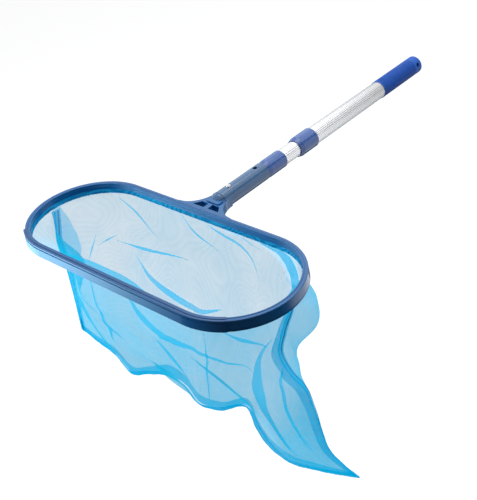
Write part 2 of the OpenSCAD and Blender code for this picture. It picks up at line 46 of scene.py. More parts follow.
cameraSet = dict(azimuth=45.81, elevation=34.11, roll=-8.88, distance=1.11474,
                 target=(0.10577, -0.52747, 0.0055), lens=64.194, sensor=36, clip=(0.01, 100))


def makeCamera(s):
    az, el, roll = (math.radians(s[k]) for k in ("azimuth", "elevation", "roll"))
    back = Vector((math.sin(az) * math.cos(el), -math.cos(az) * math.cos(el), math.sin(el)))
    right = (-back).cross(Vector((0, 0, 1))).normalized()
    up = right.cross(-back)
    turnedRight = math.cos(roll) * right + math.sin(roll) * up
    turnedUp = math.cos(roll) * up - math.sin(roll) * right
    data = bpy.data.cameras.new("camera")
    data.lens = s["lens"]
    data.sensor_width = s["sensor"]
    data.clip_start, data.clip_end = s["clip"]
    cam = bpy.data.objects.new("camera", data)
    turn = Matrix((turnedRight, turnedUp, back)).transposed()
    cam.matrix_world = Matrix.Translation(Vector(s["target"]) + back * s["distance"]) @ turn.to_4x4()
    scene.collection.objects.link(cam)
    scene.camera = cam


makeCamera(cameraSet)

lightSet = [
    dict(name="keyLight", at=(-0.7, -1.15, 0.08), aim=(-0.06, -0.62, -0.1), size=(0.5, 0.4), power=9,
         colour=(1, 0.99, 0.97), mirrored=False),
    dict(name="topLight", at=(-0.3, 0.0, 1.9), aim=(0, -0.3, 0), size=(1.8, 1.6), power=19,
         colour=(1, 1, 1), mirrored=True),
    dict(name="backLight", at=(0.75, 0.55, 1.1), aim=(0, -0.1, 0), size=(1.2, 0.8), power=10,
         colour=(0.97, 0.99, 1), mirrored=False),
]


def makeLight(s):
    data = bpy.data.lights.new(s["name"], "AREA")
    data.shape = "RECTANGLE"
    data.size, data.size_y = s["size"]
    data.energy = s["power"]
    data.color = s["colour"]
    light = bpy.data.objects.new(s["name"], data)
    light.location = s["at"]
    light.rotation_euler = (Vector(s["aim"]) - Vector(s["at"])).to_track_quat("-Z", "Y").to_euler()
    light.visible_camera = False
    light.visible_glossy = s["mirrored"]
    scene.collection.objects.link(light)


for s in lightSet:
    makeLight(s)


def put(tree, kind, inputs=None, **props):
    node = tree.nodes.new("ShaderNode" + kind)
    for key, value in props.items():
        setattr(node, key, value)
    for key, value in (inputs or {}).items():
        if isinstance(value, bpy.types.NodeSocket):
            tree.links.new(value, node.inputs[key])
        else:
            node.inputs[key].default_value = value
    return node


def maths(tree, operation, a, b=0.0, clamp=False):
    return put(tree, "Math", {0: a, 1: b}, operation=operation, use_clamp=clamp).outputs[0]


def ramp(tree, value, span=(0.0, 1.0), reach=(0.0, 1.0), soft=False):
    # a value that runs over the span comes out running over the reach
    return put(tree, "MapRange", {"Value": value, "From Min": span[0], "From Max": span[1],
                                  "To Min": reach[0], "To Max": reach[1]},
               interpolation_type="SMOOTHSTEP" if soft else "LINEAR").outputs[0]


def shade(tree, a, b, factor):
    # between two colours, each a plain one or a socket
    a, b = (v if isinstance(v, bpy.types.NodeSocket) else (*v, 1) for v in (a, b))
    return put(tree, "Mix", {"Factor": factor, 6: a, 7: b}, data_type="RGBA").outputs[2]


def newMaterial(name):
    mat = bpy.data.materials.new(name)
    mat.use_nodes = True
    tree = mat.node_tree
    return mat, tree, tree.nodes["Principled BSDF"]


worldSet = dict(
    tint=(0.95, 0.97, 1, 1), slant=0.7, upward=0.4,
    # the turn or direction that each part runs over, then its strengths
    fill=((-0.7, 0.25), (0.6, 0.02)), sky=((0.6, 0.7), (1.65, 0.05)), west=((-1.6, -0.8), (0.6, 1.0)),
    dimmed=((0.54, 0.8), (0.6, 1.0)), low=((1.0, 1.1), (0.0, 1.2)))


def makeWorld(s):
    world = bpy.data.worlds.new("studio")
    scene.world = world
    world.use_nodes = True
    tree = world.node_tree
    tree.nodes.clear()
    split = put(tree, "SeparateXYZ", {0: put(tree, "TexCoord").outputs["Generated"]})
    x, y, z = (split.outputs[axis] for axis in "XYZ")
    # the studio is darker on the side that faces the rim's far end
    side = maths(tree, "SUBTRACT", maths(tree, "MULTIPLY", x, s["slant"]),
                 maths(tree, "MULTIPLY", y, s["slant"]))
    fill = ramp(tree, side, *s["fill"])
    # its gloss shows a bright sky that ends in a thin dark edge along the pole
    turn = maths(tree, "ARCTAN2", x, z)
    sky = maths(tree, "MULTIPLY", ramp(tree, turn, *s["sky"]), ramp(tree, turn, *s["west"]))
    # and faces that look up mirror a duller part of it on the left
    around = maths(tree, "ARCTAN2", y, maths(tree, "MULTIPLY", x, -1.0))
    around = maths(tree, "ADD", around, maths(tree, "LESS_THAN", z, s["upward"]))
    sky = maths(tree, "MULTIPLY", sky, ramp(tree, around, *s["dimmed"]))
    gloss = maths(tree, "ADD", sky, ramp(tree, turn, *s["low"]))
    path = put(tree, "LightPath")
    strength = put(tree, "Mix", {0: path.outputs["Is Glossy Ray"], 2: fill, 3: gloss})
    lit = put(tree, "Background", {"Color": s["tint"], "Strength": strength.outputs[0]})
    seen = put(tree, "Background", {"Color": (1, 1, 1, 1), "Strength": 1.0})
    mix = put(tree, "MixShader", {0: path.outputs["Is Camera Ray"], 1: lit.outputs[0], 2: seen.outputs[0]})
    out = put(tree, "OutputWorld")
    tree.links.new(mix.outputs[0], out.inputs[0])


makeWorld(worldSet)

floorSet = dict(
    level=-0.335, size=16.0, rough=0.9, specular=0.1,
    colour=(0.34, 0.34, 0.34), seen=(0.26, 0.26, 0.26), lift=0.85,
    # the painted reflection that the part's gloss sees in the floor: the places that each share runs over,
    # then its strengths
    slant=0.25, fall=((-0.45, 0.12), (6.6, 0.01)), left=((-0.62, -0.4), (0.6, 1.0)),
    back=((-0.8, -0.4), (1.0, 0.16)), right=((-0.29, -0.17), (0.0, 1.3)), half=0.05,
    reflectionTints=((0.42, 0.74, 0.9), (0.95, 0.97, 1)))


def makeFloor(s):
    mesh = bpy.data.meshes.new("studioFloor")
    h, z = s["size"], s["level"]
    mesh.from_pydata([(-h, -h, z), (h, -h, z), (h, h, z), (-h, h, z)], [], [(0, 1, 2, 3)])
    floor = bpy.data.objects.new("studioFloor", mesh)
    scene.collection.objects.link(floor)
    mat, tree, shader = newMaterial("palePaper")
    path = put(tree, "LightPath")
    paint = shade(tree, s["colour"], s["seen"], path.outputs["Is Camera Ray"])
    tree.links.new(paint, shader.inputs["Base Color"])
    shader.inputs["Roughness"].default_value = s["rough"]
    shader.inputs["Specular IOR Level"].default_value = s["specular"]
    lift = maths(tree, "MULTIPLY", path.outputs["Is Camera Ray"], s["lift"])
    glow = put(tree, "Emission", {"Color": (1, 1, 1, 1), "Strength": lift})
    paper = put(tree, "AddShader", {0: shader.outputs[0], 1: glow.outputs[0]})
    # painted reflection: to glossy rays the floor glows bright on the left, dark in front and half bright
    # on the right
    split = put(tree, "SeparateXYZ", {0: put(tree, "TexCoord").outputs["Object"]})
    x, y = split.outputs["X"], split.outputs["Y"]
    side = maths(tree, "SUBTRACT", x, maths(tree, "MULTIPLY", y, s["slant"]))
    left = maths(tree, "MULTIPLY", ramp(tree, side, *s["fall"], soft=True), ramp(tree, side, *s["left"]))
    left = maths(tree, "MULTIPLY", left, ramp(tree, y, *s["back"]))
    half = maths(tree, "GREATER_THAN", x, s["half"])
    right = maths(tree, "MULTIPLY", ramp(tree, y, *s["right"], soft=True), half)
    mirrored = put(tree, "Emission", {"Color": shade(tree, *s["reflectionTints"], half),
                                      "Strength": maths(tree, "ADD", left, right)})
    both = put(tree, "MixShader", {0: path.outputs["Is Glossy Ray"], 1: paper.outputs[0],
                                   2: mirrored.outputs[0]})
    tree.links.new(both.outputs[0], tree.nodes["Material Output"].inputs["Surface"])
    mesh.materials.append(mat)


makeFloor(floorSet)
scene.view_settings.view_transform = "Standard"
scene.cycles.transparent_max_bounces = 32  # the sheets of mesh lie behind each other many times
print("camera, lights and floor made")


# Shader groups that several finishes share

def newGroup(name, ins, outs):
    group = bpy.data.node_groups.new(name, "ShaderNodeTree")
    for label, kind, value in ins:
        socket = group.interface.new_socket(label, in_out="INPUT", socket_type="NodeSocket" + kind)
        if value is not None:
            socket.default_value = value
    for label, kind in outs:
        group.interface.new_socket(label, in_out="OUTPUT", socket_type="NodeSocket" + kind)
    return group, group.nodes.new("NodeGroupInput"), group.nodes.new("NodeGroupOutput")


def useGroup(tree, group, inputs):
    return put(tree, "Group", inputs, node_tree=group)


mottleSet = dict(blotch=18.0, grain=900.0, scuff=140.0, rare=(0.62, 0.72))


def makeMottle(s):
    # soft blotches and fine grain in a moulded or drawn surface
    group, gin, gout = newGroup(
        "mottle",
        [("Vector", "Vector", None), ("Blotch Scale", "Float", s["blotch"]),
         ("Grain Scale", "Float", s["grain"]), ("Stretch", "Float", 1.0)],
        [("Blotch", "Float"), ("Grain", "Float"), ("Scuff", "Float")])
    squeeze = put(group, "CombineXYZ", {0: 1.0, 1: gin.outputs["Stretch"], 2: 1.0})
    place = put(group, "VectorMath", {0: gin.outputs["Vector"], 1: squeeze.outputs[0]},
                operation="MULTIPLY").outputs[0]
    blotch = put(group, "TexNoise", {"Vector": place, "Scale": gin.outputs["Blotch Scale"], "Detail": 3.0})
    grain = put(group, "TexNoise", {"Vector": place, "Scale": gin.outputs["Grain Scale"], "Detail": 2.0})
    scuff = put(group, "TexNoise", {"Vector": place, "Scale": s["scuff"], "Detail": 6.0, "Roughness": 0.7})
    rare = ramp(group, scuff.outputs[0], s["rare"])
    for label, socket in (("Blotch", blotch.outputs[0]), ("Grain", grain.outputs[0]), ("Scuff", rare)):
        group.links.new(socket, gout.inputs[label])
    return group


fluteSet = dict(count=60.0, high=0.5, turns=5.0, bands=1.6)


def makeFlutes(s):
    # ridges along the pole, from the turn about its axis
    group, gin, gout = newGroup(
        "flutes", [("Vector", "Vector", None), ("Count", "Float", s["count"])],
        [("Height", "Float"), ("Band", "Float")])
    split = put(group, "SeparateXYZ", {0: gin.outputs["Vector"]})
    turn = maths(group, "ARCTAN2", split.outputs["X"], split.outputs["Z"])
    wave = maths(group, "SINE", maths(group, "MULTIPLY", turn, gin.outputs["Count"]))
    group.links.new(maths(group, "MULTIPLY", wave, s["high"]), gout.inputs["Height"])
    wide = put(group, "TexNoise", {"W": maths(group, "MULTIPLY", turn, s["turns"]), "Scale": s["bands"],
                                   "Detail": 3.0}, noise_dimensions="1D")
    group.links.new(wide.outputs[0], gout.inputs["Band"])
    return group


weaveSet = dict(pitch=0.0011, thread=0.4, cloud=16.0, field=11.0, rings=150.0, lines=1.85, grid=0.35,
                watered=0.6)


def makeWeave(s):
    # crossed threads with open holes; the vector is the cloth's own place in metres
    group, gin, gout = newGroup(
        "weave",
        [("Vector", "Vector", None), ("Pitch", "Float", s["pitch"]), ("Thread", "Float", s["thread"])],
        [("Cover", "Float"), ("Height", "Float"), ("Density", "Float"), ("Watered", "Float")])
    finer = maths(group, "DIVIDE", 1.0, gin.outputs["Pitch"])
    scaled = put(group, "VectorMath", {0: gin.outputs["Vector"], 3: finer}, operation="SCALE")
    split = put(group, "SeparateXYZ", {0: scaled.outputs[0]})
    heights = []
    for axis in ("X", "Y"):
        zigzag = maths(group, "PINGPONG", split.outputs[axis], 1.0)
        heights.append(ramp(group, zigzag, (gin.outputs["Thread"], 0.0), soft=True))
    group.links.new(maths(group, "MAXIMUM", *heights), gout.inputs["Cover"])
    group.links.new(maths(group, "ADD", *heights), gout.inputs["Height"])
    cloud = put(group, "TexNoise", {"Vector": gin.outputs["Vector"], "Scale": s["cloud"], "Detail": 3.0})
    group.links.new(cloud.outputs[0], gout.inputs["Density"])
    # rings and lines where the threads of two layers run in and out of step
    field = put(group, "TexNoise", {"Vector": gin.outputs["Vector"], "Scale": s["field"], "Detail": 0.5})
    rings = maths(group, "SINE", maths(group, "MULTIPLY", field.outputs[0], s["rings"]))
    lines = [maths(group, "SINE", maths(group, "MULTIPLY", split.outputs[axis], s["lines"]))
             for axis in ("X", "Y")]
    grid = maths(group, "MULTIPLY", maths(group, "ADD", *lines), s["grid"])
    watered = maths(group, "MULTIPLY", maths(group, "ADD", rings, grid), s["watered"])
    group.links.new(watered, gout.inputs["Watered"])
    return group


mottle, flutes, weave = makeMottle(mottleSet), makeFlutes(fluteSet), makeWeave(weaveSet)


# Finishes

plasticSet = dict(pale=(1.5, 0.03), blotch=(0.3, 0.7), grainHigh=0.0004, coatRough=0.12)


def plastic(name, dark, light, rough=(0.28, 0.4), grain=0.03, coat=0.0, specular=0.4, scuff=0.25):
    mat, tree, shader = newMaterial(name)
    coords = put(tree, "TexCoord")
    look = useGroup(tree, mottle, {"Vector": coords.outputs["Object"]})
    base = shade(tree, dark, light, look.outputs["Blotch"])
    gain, add = plasticSet["pale"]
    pale = tuple(min(1, c * gain + add) for c in light)
    worn = shade(tree, base, pale, maths(tree, "MULTIPLY", look.outputs["Scuff"], scuff))
    tree.links.new(worn, shader.inputs["Base Color"])
    tree.links.new(ramp(tree, look.outputs["Blotch"], plasticSet["blotch"], rough),
                   shader.inputs["Roughness"])
    bump = put(tree, "Bump", {"Height": look.outputs["Grain"], "Strength": grain,
                              "Distance": plasticSet["grainHigh"]})
    tree.links.new(bump.outputs[0], shader.inputs["Normal"])
    shader.inputs["Specular IOR Level"].default_value = specular
    shader.inputs["Coat Weight"].default_value = coat
    shader.inputs["Coat Roughness"].default_value = plasticSet["coatRough"]
    return mat


# painted shade: the tube darkens over a span along it toward the grip, and in the flutes' grooves
metalSet = dict(stretch=0.06, depth=0.5, fluteHigh=0.0005, groove=((-0.45, -0.05), (0.45, 1.0)),
                grain=0.05, grainHigh=0.0003, dimmed=(-0.25, -0.06))


def metal(name, dark, light, rough, count=0, fade=0.0):
    s = metalSet
    mat, tree, shader = newMaterial(name)
    coords = put(tree, "TexCoord")
    look = useGroup(tree, mottle, {"Vector": coords.outputs["Object"], "Stretch": s["stretch"]})
    shader.inputs["Metallic"].default_value = 1.0
    # painted shade: the tube's colour grows darker toward the grip
    along = put(tree, "SeparateXYZ", {0: coords.outputs["Object"]}).outputs["Y"]
    value = ramp(tree, along, s["dimmed"], (1.0, 1.0 - fade))
    factor = look.outputs["Blotch"]
    if count:
        lines = useGroup(tree, flutes, {"Vector": coords.outputs["Object"], "Count": float(count)})
        bump = put(tree, "Bump", {"Height": lines.outputs["Height"], "Strength": s["depth"],
                                  "Distance": s["fluteHigh"]})
        factor = lines.outputs["Band"]
        # painted shade: the base colour is darker in the flutes' grooves
        value = maths(tree, "MULTIPLY", value, ramp(tree, lines.outputs["Height"], *s["groove"]))
    else:
        bump = put(tree, "Bump", {"Height": look.outputs["Grain"], "Strength": s["grain"],
                                  "Distance": s["grainHigh"]})
    tree.links.new(bump.outputs[0], shader.inputs["Normal"])
    base = put(tree, "HueSaturation", {"Color": shade(tree, dark, light, factor), "Value": value})
    tree.links.new(base.outputs[0], shader.inputs["Base Color"])
    tree.links.new(ramp(tree, look.outputs["Blotch"], reach=rough), shader.inputs["Roughness"])
    return mat


nettingSet = dict(tone=0.35, wateredTone=4, toneDown=0.15, slant=1.3, cloud=((0.3, 0.7), (-0.04, 0.04)),
                  threadHigh=0.0004, specular=0.05)


def netting(name, dark, light, pitch, thread, cover, edge, rough=0.6, bumpUp=0.4, glow=0.89, body=0.5,
            inner=(0.8, 0.55), water=0.05):
    # cover: how much light the holes and the threads stop, edge: what a slanting view adds, glow: emission
    # that paints in the light coming through the cloth, body: its own colour, inner: both of these inside
    # the bag, darker there as painted shade
    s = nettingSet
    mat, tree, shader = newMaterial(name)
    coords = put(tree, "UVMap")
    look = useGroup(tree, weave, {"Vector": coords.outputs[0], "Pitch": pitch, "Thread": thread})
    threads, watered = look.outputs["Cover"], look.outputs["Watered"]
    tone = maths(tree, "ADD", maths(tree, "MULTIPLY", threads, s["tone"]), look.outputs["Density"])
    tone = maths(tree, "ADD", tone, maths(tree, "MULTIPLY", watered, water * s["wateredTone"]))
    base = shade(tree, dark, light, maths(tree, "SUBTRACT", tone, s["toneDown"], clamp=True))
    # painted shade: a single layer seen from inside is darker and glows less; the folds are kept out of it
    fold = put(tree, "Attribute", attribute_name="fold").outputs["Fac"]
    insideShade = maths(tree, "MULTIPLY", put(tree, "NewGeometry").outputs["Backfacing"],
                   maths(tree, "SUBTRACT", 1.0, fold, clamp=True))
    for label, share, dimmed in (("Base Color", body, body * inner[0]), ("Emission Color", 1.0, inner[1])):
        full = put(tree, "HueSaturation", {"Color": base, "Value": share}).outputs[0]
        less = put(tree, "HueSaturation", {"Color": base, "Value": dimmed}).outputs[0]
        tree.links.new(shade(tree, full, less, insideShade), shader.inputs[label])
    # painted light: the cloth glows in its own colour
    shader.inputs["Emission Strength"].default_value = glow
    slant = put(tree, "LayerWeight", {"Blend": 0.5}).outputs["Facing"]
    slant = maths(tree, "MULTIPLY", maths(tree, "POWER", slant, s["slant"]), edge)
    solid = ramp(tree, threads, reach=cover)
    cloud = ramp(tree, look.outputs["Density"], *s["cloud"])
    cloud = maths(tree, "ADD", cloud, maths(tree, "MULTIPLY", watered, water))
    full = maths(tree, "ADD", slant, maths(tree, "ADD", solid, cloud), clamp=True)
    thin = put(tree, "Attribute", attribute_name="thin").outputs["Fac"]
    tree.links.new(maths(tree, "MULTIPLY", full, maths(tree, "SUBTRACT", 1.0, thin)),
                   shader.inputs["Alpha"])
    bump = put(tree, "Bump", {"Height": look.outputs["Height"], "Strength": bumpUp,
                              "Distance": s["threadHigh"]})
    tree.links.new(bump.outputs[0], shader.inputs["Normal"])
    shader.inputs["Roughness"].default_value = rough
    shader.inputs["Specular IOR Level"].default_value = s["specular"]
    return mat


finish = dict(
    rimBlue=plastic("rimBlue", (0.005, 0.125, 0.37), (0.01, 0.165, 0.46), (0.16, 0.26),
                    specular=0.42, coat=0.2),
    # painted shade: the lip is the rim's blue made darker
    lipShadedBlue=plastic("lipShadedBlue", (0.007, 0.098, 0.3), (0.012, 0.13, 0.38), (0.16, 0.26),
                    specular=0.42, coat=0.3),
    socketBlue=plastic("socketBlue", (0.065, 0.165, 0.34), (0.085, 0.2, 0.4), (0.1, 0.18), specular=0.5),
    collarBlue=plastic("collarBlue", (0.055, 0.14, 0.45), (0.07, 0.175, 0.53), (0.12, 0.2), specular=0.55),
    gripBlue=plastic("gripBlue", (0.018, 0.11, 0.52), (0.03, 0.145, 0.6), (0.42, 0.58),
                     specular=0.25, scuff=0.3),
    white=plastic("whiteNylon", (0.86, 0.86, 0.85), (0.93, 0.93, 0.92), (0.3, 0.42)),
    black=plastic("blackPlug", (0.012, 0.013, 0.015), (0.03, 0.031, 0.034), (0.4, 0.6)),
    steel=metal("springSteel", (0.5, 0.5, 0.5), (0.66, 0.66, 0.65), (0.2, 0.36)),
    # fade: how dark the painted shade toward the grip becomes
    outerAlloy=metal("outerAlloy", (0.72, 0.72, 0.72), (0.98, 0.98, 0.98), (0.34, 0.5),
                     count=34, fade=0.32),
    midAlloy=metal("midAlloy", (0.78, 0.78, 0.78), (0.98, 0.98, 0.98), (0.36, 0.5), count=30),
    innerAlloy=metal("innerAlloy", (0.62, 0.63, 0.64), (0.8, 0.8, 0.81), (0.34, 0.5), count=28),
    mesh=netting("meshCloth", (0.0, 0.38, 0.62), (0.0, 0.48, 0.8), pitch=0.0009, thread=0.42,
                 cover=(0.42, 0.54), edge=0.2, water=0.026),
    hem=netting("hemCloth", (0.0, 0.13, 0.36), (0.02, 0.42, 0.76), pitch=0.0014, thread=0.75,
                cover=(0.96, 1.0), edge=0.1, rough=0.8, bumpUp=0.8, glow=0.3, body=0.9, inner=(1, 1),
                water=0.1),
    tape=netting("tapeCloth", (0.0, 0.33, 0.66), (0.0, 0.48, 0.84), pitch=0.0010, thread=0.6,
                 cover=(0.5, 0.75), edge=0.4, rough=0.7, bumpUp=0.6, glow=0.7, inner=(1, 1)),
    thread=plastic("seamThread", (0.0, 0.26, 0.6), (0.01, 0.34, 0.72), (0.6, 0.8), specular=0.2),
    cord=plastic("cordFibre", (0.55, 0.62, 0.68), (0.7, 0.76, 0.8), (0.7, 0.85)),
)

nodeFinish = dict(
    rim_frame="rimBlue", front_lip="lipShadedBlue", handle_socket="socketBlue", inner_tube="innerAlloy",
    inner_plug="black", inner_lock_screw="steel", inner_expander="white", spring_clip="steel",
    button_upper="white", button_lower="white", mid_tube="midAlloy", mid_collar="collarBlue",
    mid_guide_bush="white", mid_plug="black", mid_lock_screw="steel", mid_expander="white",
    outer_tube="outerAlloy", outer_collar="collarBlue", outer_guide_bush="white", grip="gripBlue",
    tube_bung="black")
for name, look in nodeFinish.items():
    slots = nodes[name].data.materials
    if not len(slots):
        slots.append(finish[look])
    for i in range(len(slots)):
        slots[i] = finish[look]
print("materials made")


# Meshes from grids of points

def meshOf(name, points, faces, material, uvs=None, **values):
    # the uvs are the cloth's own place in metres, and values holds more numbers of each point
    mesh = bpy.data.meshes.new(name)
    mesh.from_pydata([tuple(p) for p in points], [], [tuple(int(i) for i in f) for f in faces])
    if uvs is not None:
        layer = mesh.uv_layers.new(name="cloth")
        corner = np.zeros(len(mesh.loops), np.int32)
        mesh.loops.foreach_get("vertex_index", corner)
        layer.data.foreach_set("uv", np.asarray(uvs, np.float32)[corner].ravel())
    mesh.materials.append(material)
    for label, value in values.items():
        mesh.attributes.new(label, "FLOAT", "POINT").data.foreach_set("value", value.astype(np.float32))
    mesh.polygons.foreach_set("use_smooth", [True] * len(mesh.polygons))
    mesh.update()
    ob = bpy.data.objects.new(name, mesh)
    scene.collection.objects.link(ob)
    return ob


def gridFaces(rows, cols, wrap=False):
    i, j = np.meshgrid(np.arange(rows - 1), np.arange(cols if wrap else cols - 1), indexing="ij")
    k = (j + 1) % cols
    return np.stack([i * cols + j, i * cols + k, (i + 1) * cols + k, (i + 1) * cols + j], -1).reshape(-1, 4)


def threadTube(route, radius, sides, guide):
    # a round tube along a route, open at its ends; its section turns from the guide
    way = np.gradient(route, axis=0)
    way /= np.maximum(np.linalg.norm(way, axis=1, keepdims=True), 1e-9)
    u = np.cross(way, guide)
    u /= np.linalg.norm(u, axis=1, keepdims=True)
    v = np.cross(u, way)
    turn = np.linspace(0, 2 * math.pi, sides, endpoint=False)
    radius = np.broadcast_to(radius, len(route))[:, None, None]
    across, rise = np.cos(turn)[:, None], np.sin(turn)[:, None]
    ring = route[:, None] + radius * (across * u[:, None] + rise * v[:, None])
    return ring.reshape(-1, 3), gridFaces(len(route), sides, wrap=True), turn


# Cowl over the socket's root

cowlSet = dict(at=-0.4458, out=0.0132, reach=0.0085, low=0.0035, lip=0.0009, full=0.7, rows=16, columns=36)


def makeCowl(s):
    # a domed cowl that closes the socket above its bracket
    start = math.asin(s["low"] / s["out"])
    turn = np.linspace(start, math.pi - start, s["columns"])
    points = []
    for k in range(s["rows"]):
        a = k / (s["rows"] - 1) * math.pi / 2
        r, y = s["out"] * math.cos(a) ** s["full"], s["at"] - s["reach"] * math.sin(a)
        if k == 0:
            r += s["lip"]
        points.append(np.stack([r * np.cos(turn), np.full(s["columns"], y),
                                np.maximum(r * np.sin(turn), s["low"])], -1))
    faces = gridFaces(s["rows"], s["columns"])
    ob = meshOf("rootCowl", np.concatenate(points), faces, finish["socketBlue"])
    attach(ob, "head")


makeCowl(cowlSet)


# The bag's surface: it follows the solid's closely, with a foot line, dents, bow and tuck of its own

bagSet = dict(
    straight=0.132, radius=0.0867, top=0.0171, half=0.216, depth=0.282, belly=0.014, footGap=0.0015,
    snap=0.35, nearLeft=0.35, nearRight=0.6,
    # shares of the rim's half length, millimetres toward the back, and shares of the depth
    foot=[(-1.015, -10, 0.835), (-0.845, -12, 0.865), (-0.635, -15, 0.885), (-0.52, -15, 0.96),
          (-0.295, -15, 0.885), (-0.08, -15, 0.82), (0.075, -15, 0.84), (0.15, -15, 0.905),
          (0.34, -15, 0.88), (0.635, -15, 0.755), (0.675, -15, 0.86), (0.75, -15, 0.94),
          (0.895, -15, 0.98), (1.135, -15, 0.93), (1.44, -15, 0.83)],
    left=[(-1.014, -6, 0.426)],
    right=[(0.954, -8, 0.205), (0.935, -12, 0.32), (1.01, -14, 0.397), (1.107, -15, 0.44),
           (1.157, -15, 0.532), (1.204, -15, 0.674), (1.24, -15, 0.752), (1.343, -15, 0.805)],
    # sheet, place and width across, place and height down, way out in x and y
    dents=[(1, 0.91, 0.075, 0.16, 0.15, 0.036, 0.004), (-1, 0.13, 0.09, 0.24, 0.12, 0.018, 0.022),
           (-1, 0.72, 0.1, 0.75, 0.3, 0.034, 0.011), (-1, 0.77, 0.05, 0.63, 0.16, 0.011, 0),
           (-1, 0.47, 0.05, 0.85, 0.12, 0.009, 0), (-1, 0.3, 0.12, 0.9, 0.1, 0.006, 0.004),
           (-1, 0.2, 0.1, 0.2, 0.12, 0.006, 0.008), (1, 0.93, 0.06, 0.6, 0.15, -0.014, 0)],
    fadeTop=0.06, fadeFoot=0.94, fadeSeam=0.05,
    bow=dict(out=0.0095, down=0.26, tall=0.14, wide=0.12),
    tuck=dict(deep=0.029, starts=(0.02, 0.4), ends=(0.45, 0.78), top=0.035, below=(0.05, 0.3),
              gap=0.003, press=0.8))


def smooth(x, a, b):
    t = np.clip((x - a) / (b - a), 0, 1)
    return t * t * (3 - 2 * t)


def bell(x, middle, width):
    return np.exp(-((x - middle) / width) ** 2)


def edgePoints(shares):
    return [(x * bagSet["half"], y / 1000, z * bagSet["depth"]) for x, y, z in shares]


def along(points, share):
    # a smooth line through the points, by its share of their straight length
    p = np.array(points, float)
    d = np.concatenate([[0], np.cumsum(np.linalg.norm(np.diff(p, axis=0), axis=1))])
    at = np.clip(np.asarray(share, float), 0, 1) * d[-1]
    i = np.clip(np.searchsorted(d, at, side="right") - 1, 0, len(p) - 2)
    h = (d[i + 1] - d[i])[..., None]
    u = (at - d[i])[..., None] / h
    slope = np.gradient(p, d, axis=0)
    return ((2 * u**3 - 3 * u**2 + 1) * p[i] + (u**3 - 2 * u**2 + u) * h * slope[i]
            + (3 * u**2 - 2 * u**3) * p[i + 1] + (u**3 - u**2) * h * slope[i + 1])


footLine = edgePoints(bagSet["foot"])
bagEnd = bagSet["straight"] + bagSet["radius"]
leftLine = [(-bagEnd, 0, bagSet["top"])] + edgePoints(bagSet["left"]) + [footLine[0]]
rightLine = [(bagEnd, 0, bagSet["top"])] + edgePoints(bagSet["right"]) + [footLine[-1]]


def mouthPoint(w, side):
    # a place on the hem, a share w of the way from the left seam to the right one
    r, c = bagSet["radius"], bagSet["straight"]
    quarter = math.pi / 2 * r
    half = 2 * quarter + 2 * c
    d = w * half
    a, b = d / r, (half - d) / r
    onLeft, onRight = a < math.pi / 2, b < math.pi / 2
    x = np.where(onLeft, -c - r * np.cos(a), np.where(onRight, c + r * np.cos(b), d - quarter - c))
    y = np.where(onLeft, np.sin(a), np.where(onRight, np.sin(b), 1.0)) * r * side
    return np.stack([x, y, np.full_like(x, bagSet["top"])], -1)


def between(top, foot, across, down):
    p = top + (foot - top) * across[..., None]
    p[..., 2] = top[..., 2] + (foot[..., 2] - top[..., 2]) * down
    return p


def bagPoint(w, t, side):
    # w runs across the bag and t down it, side is -1 in front and 1 at the back
    b = bagSet
    w, t = np.broadcast_arrays(np.clip(w, 0, 1).astype(float), np.clip(t, 0, 1).astype(float))
    nearLeft = 1 - smooth(w, 0, b["nearLeft"])
    nearRight = smooth(w, b["nearRight"], 1)
    closing = nearLeft + (nearRight if side < 0 else 0)
    s = np.power(t, 1 - (1 - b["snap"]) * closing)
    arch = np.sin(np.pi * w)
    foot = along(footLine, w)
    foot[..., 1] += side * b["footGap"] * arch
    ends = [np.broadcast_to(np.array(p, float), w.shape + (3,)) for p in
            (leftLine[0], footLine[0], rightLine[0], footLine[-1])]
    left = along(leftLine, t) - between(ends[0], ends[1], s, t)
    right = along(rightLine, t) - between(ends[2], ends[3], s, t)
    mouth = mouthPoint(w, side)
    p = between(mouth, foot, s, t) + nearLeft[..., None] * left + nearRight[..., None] * right
    p[..., 1] += side * b["belly"] * np.sin(np.pi * t) * np.sqrt(np.clip(arch, 0, 1))
    free = smooth(t, 0, b["fadeTop"]) * (1 - smooth(t, b["fadeFoot"], 1))
    free = free * smooth(np.minimum(w, 1 - w), 0, b["fadeSeam"])
    for sheet, across, wide, down, tall, pushX, pushY in b["dents"]:
        if sheet == side:
            push = free * bell(w, across, wide) * bell(t, down, tall)
            p[..., 0] += push * pushX
            p[..., 1] += push * pushY
    # the left seam bows out below the hem
    f = b["bow"]
    bow = f["out"] * bell(t, f["down"], f["tall"]) * (1 - smooth(w, 0, f["wide"]))
    p[..., 0] -= bow * smooth(t, 0, b["fadeTop"])
    if side < 0:
        # the front sheet folds in over itself just under the hem
        f = b["tuck"]
        tuck = smooth(w, *f["starts"]) * (1 - smooth(w, *f["ends"])) * smooth(t, 0, f["top"])
        tuck = tuck * (1 - smooth(t, *f["below"]))
        turn = (np.clip(mouth[..., 0], -b["straight"], b["straight"]) - mouth[..., 0]) / b["radius"]
        p[..., 0] += f["deep"] * tuck * turn
        p[..., 1] -= f["deep"] * tuck * mouth[..., 1] / b["radius"]
        p[..., 2] += (b["top"] + f["gap"] - p[..., 2]) * np.clip(tuck, 0, 1) * f["press"]
    p[..., 2] *= -1
    return p + rimAt


def bagNormal(w, t, side, step=0.004):
    # the way out of the bag, away from the other sheet
    a = bagPoint(np.clip(w + step, 0, 1), t, side) - bagPoint(np.clip(w - step, 0, 1), t, side)
    b = bagPoint(w, np.clip(t + step, 0, 1), side) - bagPoint(w, np.clip(t - step, 0, 1), side)
    n = np.cross(b, a) * -side
    return n / np.maximum(np.linalg.norm(n, axis=-1, keepdims=True), 1e-12)


# The two sheets of mesh, with folds, ridges and ripples

clothSpan = np.array([0.585, 0.262])  # metres of cloth that w and t stand for


